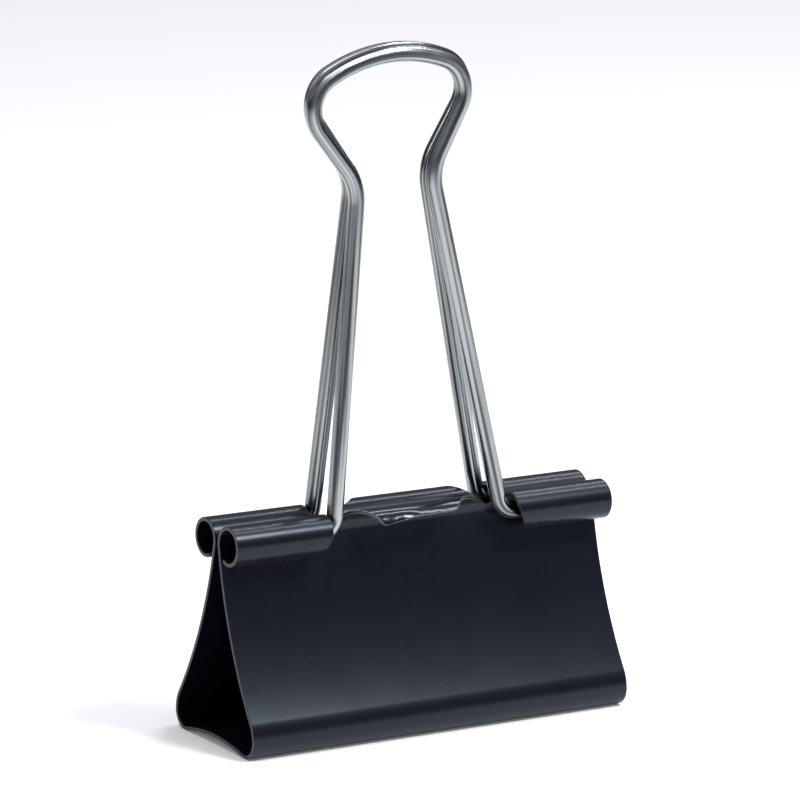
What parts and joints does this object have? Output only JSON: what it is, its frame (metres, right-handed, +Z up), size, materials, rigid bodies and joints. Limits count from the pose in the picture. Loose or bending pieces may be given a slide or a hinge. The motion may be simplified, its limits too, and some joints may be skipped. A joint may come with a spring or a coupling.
{
  "type": "binder clip",
  "caption": "Fold-back spring clip: arched steel strip with jaws rolled into curls that hold a folding wire handle on each side.",
  "frame": {"origin": "middle of the rectangle that the closed clip stands on", "axes": "+Z up through the upright handles, X along the jaws, +Y from the front jaw to the rear jaw"},
  "size_m": [0.051, 0.0182, 0.0802],
  "materials": {
    "lacquered_spring_steel": "semi-gloss black lacquer",
    "plated_wire": "bright nickel plate"
  },
  "bodies": {
    "spine": {"spring_spine": "lacquered_spring_steel"},
    "front_jaw": {"front_jaw": "lacquered_spring_steel"},
    "rear_jaw": {"rear_jaw": "lacquered_spring_steel"},
    "front_handle": {"front_handle": "plated_wire"},
    "rear_handle": {"rear_handle": "plated_wire"}
  },
  "joints": [
    {"name": "front_jaw_flex", "type": "hinge", "parent": "spine", "child": "front_jaw", "pos_m": [0, -0.00645, 0.00028], "axis": [1, 0, 0], "range_deg": [0, 28], "stiffness_Nm_per_rad": 2.5, "springref_deg": -8.02},
    {"name": "rear_jaw_flex", "type": "hinge", "parent": "spine", "child": "rear_jaw", "pos_m": [0, 0.00645, 0.00028], "axis": [-1, 0, 0], "range_deg": [0, 28], "stiffness_Nm_per_rad": 2.5, "springref_deg": -8.02},
    {"name": "front_handle_fold", "type": "hinge", "parent": "front_jaw", "child": "front_handle", "pos_m": [0, -0.0026, 0.02405], "axis": [1, 0, 0], "range_deg": [0, 161]},
    {"name": "rear_handle_fold", "type": "hinge", "parent": "rear_jaw", "child": "rear_handle", "pos_m": [0, 0.0026, 0.02405], "axis": [-1, 0, 0], "range_deg": [0, 161]}
  ],
  "couplings": [
    {"joint": "rear_jaw_flex", "follows": "front_jaw_flex", "ratio": 1}
  ]
}
